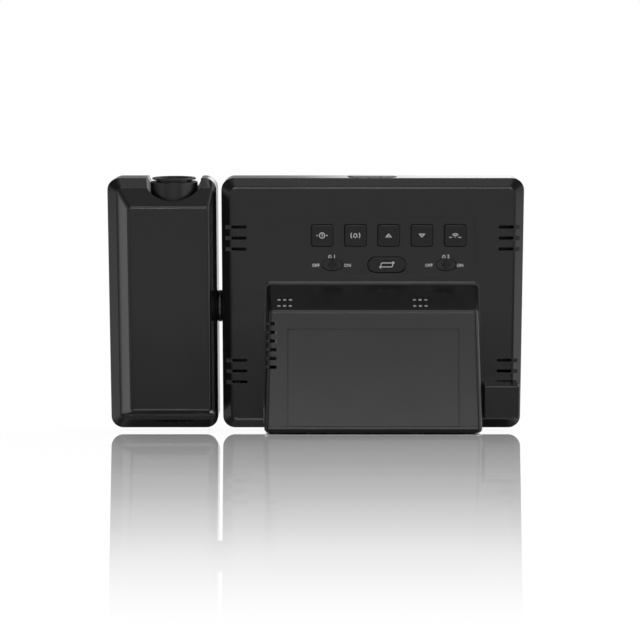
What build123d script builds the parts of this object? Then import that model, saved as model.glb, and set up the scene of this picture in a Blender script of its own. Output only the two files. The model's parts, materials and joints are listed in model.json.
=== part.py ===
from build123d import *
import math
import os

# Projection alarm clock: a leaned-back display housing on a stand that holds
# the batteries, with a projector arm that swivels on the housing's side.
# All sizes are in millimetres.
#
# Three working frames are used, all seen from behind the clock, where the
# controls are: u runs to the right, v up along the housing and w towards the
# rear.  w = 0 is the rim of the rear cover and v = 0 is its lower edge.  The
# stand is drawn upright: u to the right, height above the desk, and distance
# to the rear.

# ---- How the clock stands ----
lean_angle = 9.0            # the housing leans back by this much
rim_above_desk = 1.75       # lower edge of the rear cover to the desk

# ---- Main housing ----
body_width = 149.9
body_height = 126.0
front_depth = 20.0          # rim to the front face
corner_radius = 6.0
front_edge_radius = 2.5
wall = 2.0
parting_chamfer = 0.25
full_round = 0.01           # kept off a fully round end, so that its arcs stay valid

# ---- Rear cover ----
cover_band = 1.2            # straight edge below the bevel
bevel_width = 4.7
bevel_depth = 2.0
crown_radius = 3.0          # corners of the flat back
crown_softening = 3.5
lip_depth = 2.0
lip_wall = 1.2
lip_clearance = 0.15

# ---- Vent grooves in the rear cover ----
groove_height = 2.0
groove_pitch = 5.5
groove_count = 3
groove_floor = 0.8          # depth coordinate of the groove floor
groove_inner_end = 62.4     # distance from the middle of the cover
upper_groove_top = 101.8
lower_groove_top = 34.6
vent_slit_height = 1.6
vent_slit_length = 7.5
vent_slit_inset = 0.2

# ---- Control panel ----
panel_middle = 8.3          # sideways from the middle of the cover
panel_width = 85.6
panel_bottom = 77.8
panel_top = 106.8
panel_radius = 1.5
panel_depth = 0.25
button_size = 10.7
button_radius = 1.2
button_pitch = 16.5
button_shift = -0.35        # middle of the buttons to the middle of the panel
button_row = 97.7           # height of the row of square buttons
button_names = ["time_button", "alarm_button", "up_button", "down_button", "mode_button"]
flip_button_width = 19.0
flip_button_height = 7.7
flip_button_offset = -0.8   # from the middle of the row above
button_gap = 0.3            # running gap round a button
button_proud = 0.35         # above the flat back
button_flange = 0.9         # overlap of the retaining flange behind the cover
button_flange_thickness = 1.0
button_flange_gap = 0.2
button_travel = 0.8
button_edge = 0.55
lower_row = 83.0            # height of the flip button and the switches
stem_radius = 1.7
switch_offset = 28.3        # slide switches either side of the panel's middle

# ---- Slide switches ----
dish_width = 10.5
dish_height = 6.5
dish_taper = 0.4
dish_floor = 0.7
dish_backing = 0.6
dish_rim = 1.2              # round the dish, behind the cover
thumb_width = 2.0
thumb_height = 4.4
thumb_top = 1.95
thumb_gap = 0.2
slider_travel = 1.2         # each way
slider_stem = 1.8
slider_stem_height = 1.7
slider_flange_height = 4.4
slider_flange_thickness = 0.8
slider_tail_depth = 5.0
slider_flange_overlap = 0.8
slider_flange_gap = 0.1
thumb_groove_width = 0.6
thumb_groove_depth = 0.35
slide_switch_width = 8.6
slide_switch_height = 4.4
slide_switch_depth = 3.6
slide_channel_height = 2.0
slide_channel_depth = 2.0
slide_channel_gap = 0.3

# ---- Snooze button on the top ----
snooze_width = 24.0
snooze_depth = 9.0
snooze_radius = 3.0
snooze_middle = -9.5        # depth coordinate
snooze_proud = 0.45
snooze_flange = 1.0
snooze_stem_radius = 1.5
snooze_stem_depth = -5.8
snooze_stem_drop = 9.4      # end of the stem below the housing's top
snooze_flange_thickness = 1.2
snooze_switch_width = 7.0
snooze_switch_height = 6.0
snooze_switch_depth = 4.4
snooze_engagement = 0.8     # reach of the stem into its switch at rest
snooze_well_gap = 0.4       # round the stem

# ---- Display ----
bezel = 8.0                 # round the window
window_radius = 4.0
window_recess = 1.6
window_clearance = 0.15
window_sink = 0.1           # below the front face
window_seat = 3.0           # ledge that the window lies on
view_radius = 2.5
display_overlap = 1.2       # of the panel behind that ledge
glass_thickness = 2.2
diffuser_thickness = 1.2
frame_wall = 1.5
frame_back = 1.2
display_corner = 1.0

# ---- Circuit board ----
board_margin_side = 3.8     # to the housing's outside
board_margin_top = 7.0
board_thickness = 1.6
board_rear = -8.0           # depth coordinate of the component side
board_notch = 7.5
board_notch_margin = 2.0    # round the swivel boss
board_corner = 2.0
board_hole_gap = 0.15
post_radius = 2.5
post_inset = 4.6            # of a post's axis from the side wall
post_margin = 20.0          # of a post's axis to the housing's ends
screw_radius = 1.0
screw_head_radius = 2.0
screw_head_height = 1.5
screw_grip = 5.0
screw_tip_gap = 0.5
thread_gap = 0.05
slot_share = 0.55           # of the head's radius, each way
slot_half_width = 0.2
tact_size = 6.2
tact_height = 3.6
tact_well_radius = 2.2
stem_engagement = 0.6       # reach of a stem into its switch at rest
stem_run_out = 0.8          # left under a pressed stem
chip_size = 12.0
chip_height = 1.4
chip_place = (-30.0, 60.0)
crystal_length = 10.5
crystal_width = 4.4
crystal_height = 3.4
crystal_place = (-30.0, 78.0)
capacitor_radius = 3.1
capacitor_height = 7.0
capacitor_places = ((-44.0, 40.0), (-35.0, 40.0))
wire_plug = (10.0, 6.0, 5.5)
wire_plug_place = (39.0, 49.0)
buzzer_radius = 6.0
buzzer_height = 5.5
buzzer_hole_radius = 1.1
buzzer_hole_depth = 2.0
buzzer_place = (24.0, 62.0)

# ---- Projector arm ----
arm_gap = 2.5               # between the housing and the arm
arm_width = 53.9
block_raise = 12.0          # raised block on the arm's back
block_base_left = 4.5       # base of the block to the arm's left edge
block_base_right = 1.1
block_base_bottom = 6.3
block_base_top = 4.8
block_top_left = 11.3       # crown of the block to the arm's left edge
block_top_right = 2.5
block_top_bottom = 11.1
block_top_top = 13.0
block_corner = 2.0
block_edge = 1.9

# ---- Lens barrel in the top of the arm ----
barrel_across = 5.85        # sideways from the middle of the arm
barrel_depth = -4.0         # depth coordinate of the optical axis
# Depths with the word drop are measured down from the top of the arm.
well_radius = 14.2
well_drop = 22.0
well_wall = 1.5
scoop_rise = 4.0            # axis of the finger scoop above the arm's top
ring_radius = 11.7
ring_bottom_drop = 20.0
ring_top_drop = 1.9
ring_lip = 1.5
ring_edge = 0.4
ring_lip_gap = 0.25         # between the ring's lip and the cell
cell_radius = 8.75
cell_wall = 1.3
cell_bottom_drop = 29.0
cell_flange_radius = 10.8
cell_flange_thickness = 0.8
cell_flange_gap = 1.1       # to the ring: the lens's travel and a little more
cell_recess_radius = 9.0
cell_recess_depth = 0.5
fit_gap = 0.05              # radial running fit
tube_wall = 1.1
tube_bottom = 50.0
tube_top_drop = 4.5
lens_radius = 7.3
lens_thickness = 4.4
lens_seat_drop = 6.5
lens_bulge = 1.5
lens_grip = 0.5
retainer_height = 1.4
retainer_gap = 0.25         # above the lens's edge
lens_ledge = 1.0            # width of the seat under the lens
lens_ledge_height = 1.2
lens_gap = 0.05             # round the lens
cell_edge = 0.25
cradle_height = 72.0
cradle_thickness = 2.0
cradle_sink = 1.0           # its ends reach this far into the shell's wall
bore_gap = 0.1              # round the optics tube where it passes a wall
shoulder_width = 2.5
shoulder_height = 2.0
led_board_radius = 11.0
led_board_thickness = 1.6
led_size = 5.0
led_height = 1.2
led_dome_radius = 1.8
led_dome_height = 1.4
led_dome_rounding = 1.1
condenser_bottom = 56.0
condenser_thickness = 5.0
condenser_bulge = 2.6
image_bottom = 66.0
image_thickness = 1.6
image_width = 10.0
image_depth = 7.0

# ---- Vents under the arm ----
arm_vent_count = 5
arm_vent_width = 2.5
arm_vent_height = 0.9
arm_vent_pitch = 4.2
arm_vent_middle = 5.1
arm_vent_row = 3.6

# ---- Swivel ----
swivel_height = 61.0
swivel_depth = -8.0
shaft_radius = 4.5
shaft_bore = 2.5
collar_radius = 8.0
collar_rounding = 0.9
collar_clearance = 0.2
boss_radius = 6.5
boss_length = 3.0
shaft_flange_radius = 6.5
shaft_flange_thickness = 1.5
washer_radius = 6.2
washer_thickness = 0.9
clip_thickness = 0.8
clip_radius = 6.0
groove_in_shaft = 0.6
shaft_end_margin = 1.2
washer_gap = 0.05
washer_bore_gap = 0.1
clip_gap = 0.1              # of the groove to the washer
clip_end_gap = 0.05         # of the clip in its groove
clip_mouth = 5.2
notch_margin = 1.0          # of a lip round the boss
flange_margin = 0.5         # of a lip round the shaft's flange

# ---- Stand ----
stand_depth = 31.0          # rim's lower edge to the rear face
stand_front_half = 54.0
stand_front_height = 85.2
stand_rear_top_half = 51.2
stand_rear_bottom_half = 53.4
stand_rear_height = 60.6
stand_edge = 2.3            # rounding of every outer edge behind the mouth
stand_wall = 2.0
seam_height = 4.0
pad_width = 108.8
pad_bottom = 10.5
pad_top = 50.5
pad_radius = 2.5
pad_thickness = 1.0
stand_boss_radius = 3.2
stand_boss_across = 47.5
stand_boss_rows = (16.0, 45.0)
stand_boss_reach = 9.0
stand_screw_radius = 1.3
stand_screw_head = 2.5
stand_screw_head_height = 1.6
stand_pilot_end = 1.5       # left solid at the boss's end
stand_rib_half = 0.8
screw_hole_gap = 0.1
trim_margin = 1.0           # by which a cutting block passes the stand
bead_reach = 0.7            # the bead at the stand's mouth stands out this much
bead_thickness = 1.0

# ---- Holes in the stand ----
port_width = 1.6
port_length = 3.0
port_pitch = 2.8
port_rows = (23.6, 27.4)    # distance to the rear
port_groups = {"sensor": -43.4, "buzzer": 23.2}
port_skin = 1.4             # the slope is thinned to this round the holes
felt_width = 3 * port_pitch + 1.5
felt_length = 9.0
felt_thickness = 0.8
felt_gap = 0.1
slot_felt_height = 11.5     # pad behind the upper side slots
slot_felt_middle = 50.0
slot_felt_shown = 0.6       # of its width, in the slots' ends
slot_felt_lap = 0.8         # behind the wall beside the slots
side_slot_count = 6
side_slot_top = 54.2
side_slot_pitch = 4.25
side_slot_height = 1.5
side_slot_reach = 3.8       # past the rear top corner, towards the middle
side_slot_front = 22.0

# ---- Battery bay ----
door_width = 83.5
door_top = 51.6
door_thickness = 1.8
door_clearance = 0.12
door_corner = 1.0
seat_frame = 2.4
seat_overlap = 2.0
seat_overlap_top = 2.5
door_gap = 0.05             # in front of its seat
catch_half_width = 9.0
catch_height = 1.2
catch_reach = 1.6
catch_gap = 0.3
bay_half = 29.5
bay_bottom = 6.2
bay_top = 50.1
bay_floor = 13.6            # distance to the rear of the bay's inner wall
bay_wall = 1.4
cell_pitch = 14.6
aa_radius = 7.2
aa_length = 49.3
aa_nub = 1.2
aa_nub_radius = 2.7
aa_gap = 0.25
aa_end_gap = 0.1
aa_edge = 0.5
aa_bay_gap = 0.3            # of a cell to the door
contact_thickness = 0.4
contact_width = 8.0
contact_plate = 10.0
leaf_half_height = 5.5
leaf_tip_half = 1.2
leaf_return_drop = 4.2
leaf_return_share = 0.45

# ---- Base plate and feet ----
foot_height = 0.7
foot_radius = 2.2
foot_recess = 0.6
base_floor = 1.5
base_front = -15.0
base_front_half = 49.0
base_front_corner = 6.0
base_clearance = 0.3
base_pocket_front = 8.0
tongue_rear = 10.0
foot_gap = 0.1
rear_foot = (48.0, 25.8)
front_foot = (42.0, -11.0)

# ---- Power socket block ----
socket_left = 55.2
socket_right = 73.1
socket_bottom = 7.1
socket_top = 24.2
socket_depth = 14.0         # depth coordinate of its rear face
socket_edge = 0.8
socket_wall = 1.8
socket_axis = 7.6
nose_radius = 4.0
nose_clearance = 0.1
plug_radius = 3.0
pin_radius = 1.0
plug_bore_depth = 9.5
jack_length = 11.5
jack_half_height = 5.0
jack_front = 4.6            # of its body, from the axis into the clock
jack_rear = 4.5
nose_sink = 0.2
pin_sink = 1.5
pin_point = 0.3

# ---- Derived places ----
mid = body_height / 2
window_width = body_width - 2 * bezel
window_height = body_height - 2 * bezel
view_width = window_width - 2 * window_seat
view_height = window_height - 2 * window_seat
display_width = view_width + 2 * display_overlap
display_height = view_height + 2 * display_overlap
board_width = body_width - 2 * board_margin_side
board_height = body_height - 2 * board_margin_top
post_offset = body_width / 2 - wall - post_inset
button_middle = panel_middle + button_shift
snooze_stem_bottom = body_height - snooze_stem_drop
well_floor = body_height - well_drop
ring_bottom = body_height - ring_bottom_drop
ring_top = body_height - ring_top_drop
cell_bottom = body_height - cell_bottom_drop
tube_top = body_height - tube_top_drop
lens_seat = body_height - lens_seat_drop
side_slot_inner = stand_rear_top_half - side_slot_reach
total_width = arm_width + arm_gap + body_width
body_x = arm_width + arm_gap + body_width / 2 - total_width / 2
arm_x = arm_width / 2 - total_width / 2
lean = math.radians(lean_angle)
rearward = (0, math.cos(lean), -math.sin(lean))
inner_front = -front_depth + wall
panel_floor = bevel_depth - panel_depth
screen_front = inner_front
screen_rear = screen_front + glass_thickness
diffuser_rear = screen_rear + diffuser_thickness
board_front = board_rear - board_thickness
pad_face = bevel_depth + pad_thickness
boss_end = pad_face + stand_boss_reach
flange_top = -button_flange_gap
flange_bottom = flange_top - button_flange_thickness
stem_bottom = board_rear + tact_height - stem_engagement
tact_well_depth = stem_engagement + button_travel + stem_run_out
body_left = -body_width / 2
boss_face = body_left + wall + boss_length
cell_rows = [bay_bottom + aa_radius + aa_gap + cell_pitch * i for i in range(3)]
aa_depth = stand_depth - door_thickness - aa_gap - aa_radius - aa_bay_gap
slope_fall = (stand_front_height - stand_rear_height) / stand_depth
slope_stretch = math.hypot(1, slope_fall)
tube_inner = cell_radius + fit_gap
tube_outer = tube_inner + tube_wall
ring_inner = tube_outer + fit_gap
cell_flange_bottom = ring_top + cell_flange_gap
cell_top = cell_flange_bottom + cell_flange_thickness

leaned_body = Plane(origin=(-body_x, 0, rim_above_desk), x_dir=(-1, 0, 0), z_dir=rearward)
leaned_arm = Plane(origin=(-arm_x, 0, rim_above_desk), x_dir=(-1, 0, 0), z_dir=rearward)
upright = Plane(origin=(-body_x, 0, 0), x_dir=(-1, 0, 0), z_dir=(0, 1, 0))


# ---- Small helpers ----

def plate(width, height, radius, low, high, across=0.0, up=0.0):
    """A plate with rounded corners between two depths."""
    return Pos(across, up, low) * extrude(RectangleRounded(width, height, radius), high - low)


def block(left, right, bottom, top, low, high):
    """A plain block given by its six sides."""
    size = Box(right - left, top - bottom, high - low)
    return Pos((left + right) / 2, (bottom + top) / 2, (low + high) / 2) * size


def rod_deep(radius, low, high, across, up):
    """A round bar along the depth."""
    return Pos(across, up, (low + high) / 2) * Cylinder(radius, high - low)


def rod_up(radius, low, high, across, depth):
    """A round bar along the height."""
    return Pos(across, (low + high) / 2, depth) * Rot(90, 0, 0) * Cylinder(radius, high - low)


def rod_across(radius, left, right, up, depth):
    """A round bar along the width."""
    return Pos((left + right) / 2, up, depth) * Rot(0, 90, 0) * Cylinder(radius, right - left)


def side_edges(shape, axis, side):
    """The outline of the face that lies furthest to one side."""
    return shape.faces().sort_by(axis)[side].edges()


def at_rest(shape, frame):
    """Put a piece from its working frame into the standing clock."""
    return frame.location * shape


# ---- Housing ----

def beveled_shell(width, height, left_inset, right_inset):
    """The band and the bevel that the cover and the arm share."""
    crown_width = width - left_inset - right_inset
    crown_across = (left_inset - right_inset) / 2
    rim = Pos(0, mid, 0) * RectangleRounded(width, height, corner_radius)
    crown = Pos(crown_across, mid, bevel_depth) * RectangleRounded(
        crown_width, height - 2 * bevel_width, crown_radius)
    band = plate(width, height, corner_radius, -cover_band, 0, 0, mid)
    return band + loft([rim, crown], ruled=True)


def housing_tray(width):
    """A deep tray with soft front edges, open to the rear."""
    tray = plate(width, body_height, corner_radius, -front_depth, -cover_band, 0, mid)
    tray = fillet(side_edges(tray, Axis.Z, 0), front_edge_radius)
    tray = chamfer(side_edges(tray, Axis.Z, -1), parting_chamfer)
    inside = plate(width - 2 * wall, body_height - 2 * wall, corner_radius - wall,
                   inner_front, 0, 0, mid)
    return tray - inside


def cover_lip(width):
    """The tongue of a rear cover that locates it in its tray."""
    outer = 2 * (wall + lip_clearance)
    inner = outer + 2 * lip_wall
    ring = plate(width - outer, body_height - outer, corner_radius - wall - lip_clearance,
                 -cover_band - lip_depth, 0, 0, mid)
    hole = plate(width - inner, body_height - inner, corner_radius - wall - lip_wall,
                 -cover_band - lip_depth, 0, 0, mid)
    return ring - hole


def lip_room(width):
    """The space that a tray keeps free for the tongue of its cover."""
    depth = lip_depth + lip_clearance
    outer = 2 * wall
    inner = 2 * (wall + lip_wall + 2 * lip_clearance)
    ring = plate(width - outer, body_height - outer, corner_radius - wall,
                 -cover_band - depth, -cover_band, 0, mid)
    return ring - plate(width - inner, body_height - inner, corner_radius - wall - lip_wall,
                        -cover_band - depth, -cover_band, 0, mid)


def cover_hollow(width):
    """The space inside the band of a rear cover."""
    inset = 2 * (wall + lip_clearance + lip_wall)
    return plate(width - inset, body_height - inset, corner_radius - wall - lip_wall,
                 -cover_band, 0, 0, mid)


def posts():
    rows = (post_margin, body_height - post_margin)
    return [(side * post_offset, row) for side in (-1, 1) for row in rows]


def make_front_housing():
    tray = housing_tray(body_width)
    tray -= plate(window_width, window_height, window_radius,
                  -front_depth, -front_depth + window_recess, 0, mid)
    tray -= plate(view_width, view_height, view_radius, -front_depth, inner_front, 0, mid)
    for across, up in posts():
        tray += rod_deep(post_radius, inner_front, board_front, across, up)
        tray -= rod_deep(screw_radius, board_front - screw_grip, board_front, across, up)
    tray += rod_across(boss_radius, body_left + wall, boss_face, swivel_height, swivel_depth)
    tray -= rod_across(shaft_radius + fit_gap, body_left, boss_face, swivel_height, swivel_depth)
    opening = snooze_cutter(button_gap, body_height - wall, body_height)
    return tray - opening


def snooze_cutter(margin, bottom, top):
    outline = RectangleRounded(snooze_width + 2 * margin, snooze_depth + 2 * margin,
                               snooze_radius + margin)
    return Pos(0, top, snooze_middle) * Rot(90, 0, 0) * extrude(outline, top - bottom)


def groove_heights():
    for top in (upper_groove_top, lower_groove_top):
        for index in range(groove_count):
            yield top - index * groove_pitch


def button_places():
    """Name, width, height, corner radius and place of each rear button."""
    places = []
    for index, name in enumerate(button_names):
        across = button_middle + (index - 2) * button_pitch
        places.append((name, button_size, button_size, button_radius, across, button_row))
    flip_radius = flip_button_height / 2 - full_round
    places.append(("flip_button", flip_button_width, flip_button_height, flip_radius,
                   button_middle + flip_button_offset, lower_row))
    return places


def switch_places():
    return {"alarm_one_slider": panel_middle - switch_offset,
            "alarm_two_slider": panel_middle + switch_offset}


def socket_block(inset):
    """The block that holds the power socket, or its hollow when inset."""
    body = block(socket_left + inset, socket_right - inset, socket_bottom + inset,
                 socket_top - inset, 0, socket_depth - inset)
    if inset == 0:
        body = fillet(body.edges().filter_by(Axis.Z), socket_edge)
        body = fillet(side_edges(body, Axis.Z, -1), socket_edge)
    return body


def cover_form(softening):
    """Everything the rear cover fills, with the pad that the stand sits on."""
    cover = beveled_shell(body_width, body_height, bevel_width, bevel_width)
    if softening > 0:
        cover = fillet(side_edges(cover, Axis.Z, -1), softening)
    pad = plate(pad_width, pad_top - pad_bottom, pad_radius, 0, pad_face, 0,
                (pad_bottom + pad_top) / 2)
    return cover + pad


def make_rear_cover():
    cover = cover_form(crown_softening) - cover_hollow(body_width) + cover_lip(body_width)
    for up in groove_heights():
        for side in (-1, 1):
            inner = side * groove_inner_end
            outer = side * body_width / 2
            cover -= block(min(inner, outer), max(inner, outer), up - groove_height / 2,
                           up + groove_height / 2, groove_floor, bevel_depth)
            start = inner + side * (vent_slit_length / 2 + vent_slit_inset)
            cover -= plate(vent_slit_length, vent_slit_height, vent_slit_height / 2 - full_round,
                           0, groove_floor, start, up)
    cover -= plate(panel_width, panel_top - panel_bottom, panel_radius, panel_floor,
                   bevel_depth, panel_middle, (panel_top + panel_bottom) / 2)
    for name, width, height, radius, across, up in button_places():
        cover -= plate(width + 2 * button_gap, height + 2 * button_gap, radius + button_gap,
                       0, bevel_depth, across, up)
    for across in switch_places().values():
        cover = cut_switch_dish(cover, across)
    cover += socket_block(0)
    cover -= socket_block(socket_wall)
    middle = (socket_bottom + socket_top) / 2
    cover -= rod_across(nose_radius + nose_clearance, socket_right - socket_wall, socket_right,
                        middle, socket_axis)
    for across, row in stand_boss_places():
        cover -= rod_deep(stand_screw_radius + screw_hole_gap, 0, pad_face, across, row)
    clear = boss_radius + notch_margin
    cover -= block(body_left + wall, boss_face + lip_wall,
                   swivel_height - clear, swivel_height + clear,
                   -cover_band - lip_depth, -cover_band)
    return cover


def cut_switch_dish(cover, across):
    cover += plate(dish_width + 2 * dish_rim, dish_height + 2 * dish_rim, 2 * dish_rim,
                   -dish_backing, 0, across, lower_row)
    floor = Pos(across, lower_row, dish_floor) * Ellipse(
        dish_width / 2 - dish_taper, dish_height / 2 - dish_taper)
    mouth = Pos(across, lower_row, panel_floor) * Ellipse(dish_width / 2, dish_height / 2)
    cover -= loft([floor, mouth], ruled=True)
    slot_width = slider_stem + 2 * slider_travel + thumb_gap
    slot = block(across - slot_width / 2, across + slot_width / 2,
                 lower_row - slider_stem_height / 2 - thumb_gap / 2,
                 lower_row + slider_stem_height / 2 + thumb_gap / 2,
                 -dish_backing, dish_floor)
    return cover - slot


# ---- Display and board ----

def make_display_window():
    slack = 2 * window_clearance
    window = plate(window_width - slack, window_height - slack, window_radius - window_clearance,
                   -front_depth + window_sink, -front_depth + window_recess, 0, mid)
    return window


def make_display_panel():
    return plate(display_width, display_height, display_corner, screen_front, screen_rear,
                 0, mid)


def make_diffuser():
    return plate(display_width, display_height, display_corner, screen_rear, diffuser_rear,
                 0, mid)


def make_backlight_frame():
    frame = plate(display_width, display_height, display_corner, diffuser_rear, board_front,
                  0, mid)
    inside = plate(display_width - 2 * frame_wall, display_height - 2 * frame_wall,
                   display_corner / 2, diffuser_rear, board_front - frame_back, 0, mid)
    return frame - inside


def make_main_board():
    board = plate(board_width, board_height, board_corner, board_front, board_rear, 0, mid)
    for across, up in posts():
        board -= rod_deep(screw_radius + board_hole_gap, board_front, board_rear, across, up)
    notch_top = boss_radius + board_notch_margin
    board -= block(-board_width / 2, -board_width / 2 + board_notch,
                   swivel_height - notch_top, swivel_height + notch_top, board_front, board_rear)
    return board


def screw(across, up, seat, top, tip, radius, head_radius):
    """A screw with a round head from seat to top and a cross slot in it."""
    low, high = min(seat, top), max(seat, top)
    body = rod_deep(head_radius, low, high, across, up)
    body += rod_deep(radius - thread_gap, min(seat, tip), max(seat, tip), across, up)
    half_depth = abs(top - seat) / 2
    size = 2 * slot_share * head_radius
    cut = Box(size, 2 * slot_half_width, half_depth) + Box(2 * slot_half_width, size, half_depth)
    direction = 1 if top > seat else -1
    return body - Pos(across, up, top - direction * half_depth / 2) * cut


def make_board_screws():
    return [screw(across, up, board_rear, board_rear + screw_head_height,
                  board_front - screw_grip + screw_tip_gap, screw_radius, screw_head_radius)
            for across, up in posts()]


def make_board_parts():
    """Clock chip, its crystal can, the wire plug and a capacitor pair."""
    chip = plate(chip_size, chip_size, board_corner / 4, board_rear,
                 board_rear + chip_height, *chip_place)
    crystal = plate(crystal_length, crystal_width, crystal_width / 2 - full_round,
                    board_rear, board_rear + crystal_height, *crystal_place)
    plug_across, plug_up = wire_plug_place
    plug = Pos(plug_across, plug_up, board_rear + wire_plug[2] / 2) * Box(*wire_plug)
    capacitors = [rod_deep(capacitor_radius, board_rear, board_rear + capacitor_height, *place)
                  for place in capacitor_places]
    return [chip, crystal, plug] + capacitors


def make_buzzer():
    top = board_rear + buzzer_height
    can = rod_deep(buzzer_radius, board_rear, top, *buzzer_place)
    return can - rod_deep(buzzer_hole_radius, top - buzzer_hole_depth, top, *buzzer_place)


def make_tact_switches():
    """The push switches on the board, each with a well for a button's stem."""
    switches = []
    for name, width, height, radius, across, up in button_places():
        half = tact_size / 2
        body = block(across - half, across + half, up - half, up + half,
                     board_rear, board_rear + tact_height)
        switches.append(body - rod_deep(tact_well_radius, board_rear + tact_height
                                        - tact_well_depth, board_rear + tact_height, across, up))
    top = snooze_stem_bottom + snooze_engagement
    half = snooze_switch_width / 2
    body = block(-half, half, top - snooze_switch_height, top, board_rear,
                 board_rear + snooze_switch_depth)
    well = snooze_engagement + button_travel + stem_run_out
    switches.append(body - rod_up(snooze_stem_radius + snooze_well_gap, top - well, top, 0,
                                  snooze_stem_depth))
    return switches


def make_slide_switch_bodies():
    bodies = []
    for across in switch_places().values():
        top = board_rear + slide_switch_depth
        body = Pos(across, lower_row, board_rear + slide_switch_depth / 2) * Box(
            slide_switch_width, slide_switch_height, slide_switch_depth)
        length = 2 * (slider_travel + slide_channel_gap) + slider_stem
        channel = Pos(across, lower_row, top - slide_channel_depth / 2) * Box(
            length, slide_channel_height, slide_channel_depth)
        bodies.append(body - channel)
    return bodies


# ---- Buttons and sliders ----

def make_button(width, height, radius, across, up):
    cap = plate(width, height, radius, 0, bevel_depth + button_proud, across, up)
    cap = fillet(side_edges(cap, Axis.Z, -1), button_edge)
    cap += plate(width, height, radius, flange_top, 0, across, up)
    cap += plate(width + 2 * button_flange, height + 2 * button_flange,
                 radius + button_flange, flange_bottom, flange_top, across, up)
    return cap + rod_deep(stem_radius, stem_bottom, flange_bottom, across, up)


def make_slider(across):
    bottom = lower_row - thumb_height / 2
    thumb = block(across - thumb_width / 2, across + thumb_width / 2, bottom,
                  bottom + thumb_height, dish_floor + thumb_gap, thumb_top)
    half_groove = thumb_groove_width / 2
    groove = block(across - half_groove, across + half_groove, bottom, bottom + thumb_height,
                   thumb_top - thumb_groove_depth, thumb_top)
    half = slider_stem / 2
    tail = block(across - half, across + half, lower_row - slider_stem_height / 2,
                 lower_row + slider_stem_height / 2, -slider_tail_depth, dish_floor + thumb_gap)
    flange_half = slider_stem / 2 + 2 * slider_travel + slider_flange_overlap
    top = -dish_backing - slider_flange_gap
    flange = block(across - flange_half, across + flange_half,
                   lower_row - slider_flange_height / 2, lower_row + slider_flange_height / 2,
                   top - slider_flange_thickness, top)
    return thumb - groove + tail + flange


def make_snooze_button():
    top = body_height + snooze_proud
    flange_high = body_height - wall - button_flange_gap
    flange_low = flange_high - snooze_flange_thickness
    cap = snooze_cutter(0, flange_high, top)
    cap = fillet(side_edges(cap, Axis.Y, -1), button_edge)
    flange = snooze_cutter(snooze_flange, flange_low, flange_high)
    stem = rod_up(snooze_stem_radius, snooze_stem_bottom, flange_low, 0, snooze_stem_depth)
    return cap + flange + stem


# ---- Power socket ----

def make_power_socket():
    middle = (socket_bottom + socket_top) / 2
    inner = socket_right - socket_wall
    body = block(inner - jack_length, inner, middle - jack_half_height,
                 middle + jack_half_height, socket_axis - jack_front, socket_axis + jack_rear)
    body += rod_across(nose_radius, inner, socket_right - nose_sink, middle, socket_axis)
    return body - rod_across(plug_radius, socket_right - plug_bore_depth, socket_right, middle,
                             socket_axis)


def make_socket_pin():
    middle = (socket_bottom + socket_top) / 2
    end = socket_right - pin_sink
    pin = rod_across(pin_radius, socket_right - plug_bore_depth, end, middle, socket_axis)
    return chamfer(side_edges(pin, Axis.X, -1), pin_point)


# ---- Stand ----

def stand_outline(bottom_half, top_half, height, inset):
    """One upright section of the stand, seen from behind."""
    top = height - inset * slope_stretch
    return Polygon((-bottom_half + inset, foot_height), (bottom_half - inset, foot_height),
                   (top_half - inset, top), (-top_half + inset, top), align=None)


def stand_block(inset):
    """The stand with sharp edges, or its hollow when inset by the wall."""
    front = stand_outline(stand_front_half, stand_front_half, stand_front_height, inset)
    back = stand_outline(stand_rear_bottom_half, stand_rear_top_half, stand_rear_height, inset)
    return loft([front, Pos(0, 0, stand_depth) * back], ruled=True)


def behind_mouth(shape):
    """The edges of a stand block that don't lie in its open front."""
    mouth_edges = 4
    return shape.edges().sort_by(Axis.Z)[mouth_edges:]


def stand_form():
    form = stand_block(0)
    return fillet(behind_mouth(form), stand_edge)


def stand_hollow():
    rear_wall = block(-stand_front_half, stand_front_half, 0, stand_front_height,
                      stand_depth - stand_wall, stand_depth)
    return stand_block(stand_wall) - rear_wall


def behind_cover(shape, clearance):
    """Trim an upright piece so that it meets the back of the leaned cover."""
    cover = cover_form(0)
    front = plate(body_width, body_height, corner_radius, -front_depth, 0, 0, mid)
    if clearance > 0:
        pad_low = plate(body_width, body_height, corner_radius, -front_depth,
                        -cover_band, 0, mid - clearance)
        front += pad_low
        cover += Pos(0, -clearance, 0) * cover
    return at_rest(shape, upright) - at_rest(cover, leaned_body) - at_rest(front, leaned_body)


def slope_frame(across, distance):
    """A frame on the sloping top, its z axis square to the slope."""
    height = stand_front_height - slope_fall * distance
    return Plane(origin=(across, height, distance), x_dir=(1, 0, 0), z_dir=(0, 1, slope_fall))


def on_slope(shape, across, distance):
    return slope_frame(across, distance).location * shape


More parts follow.
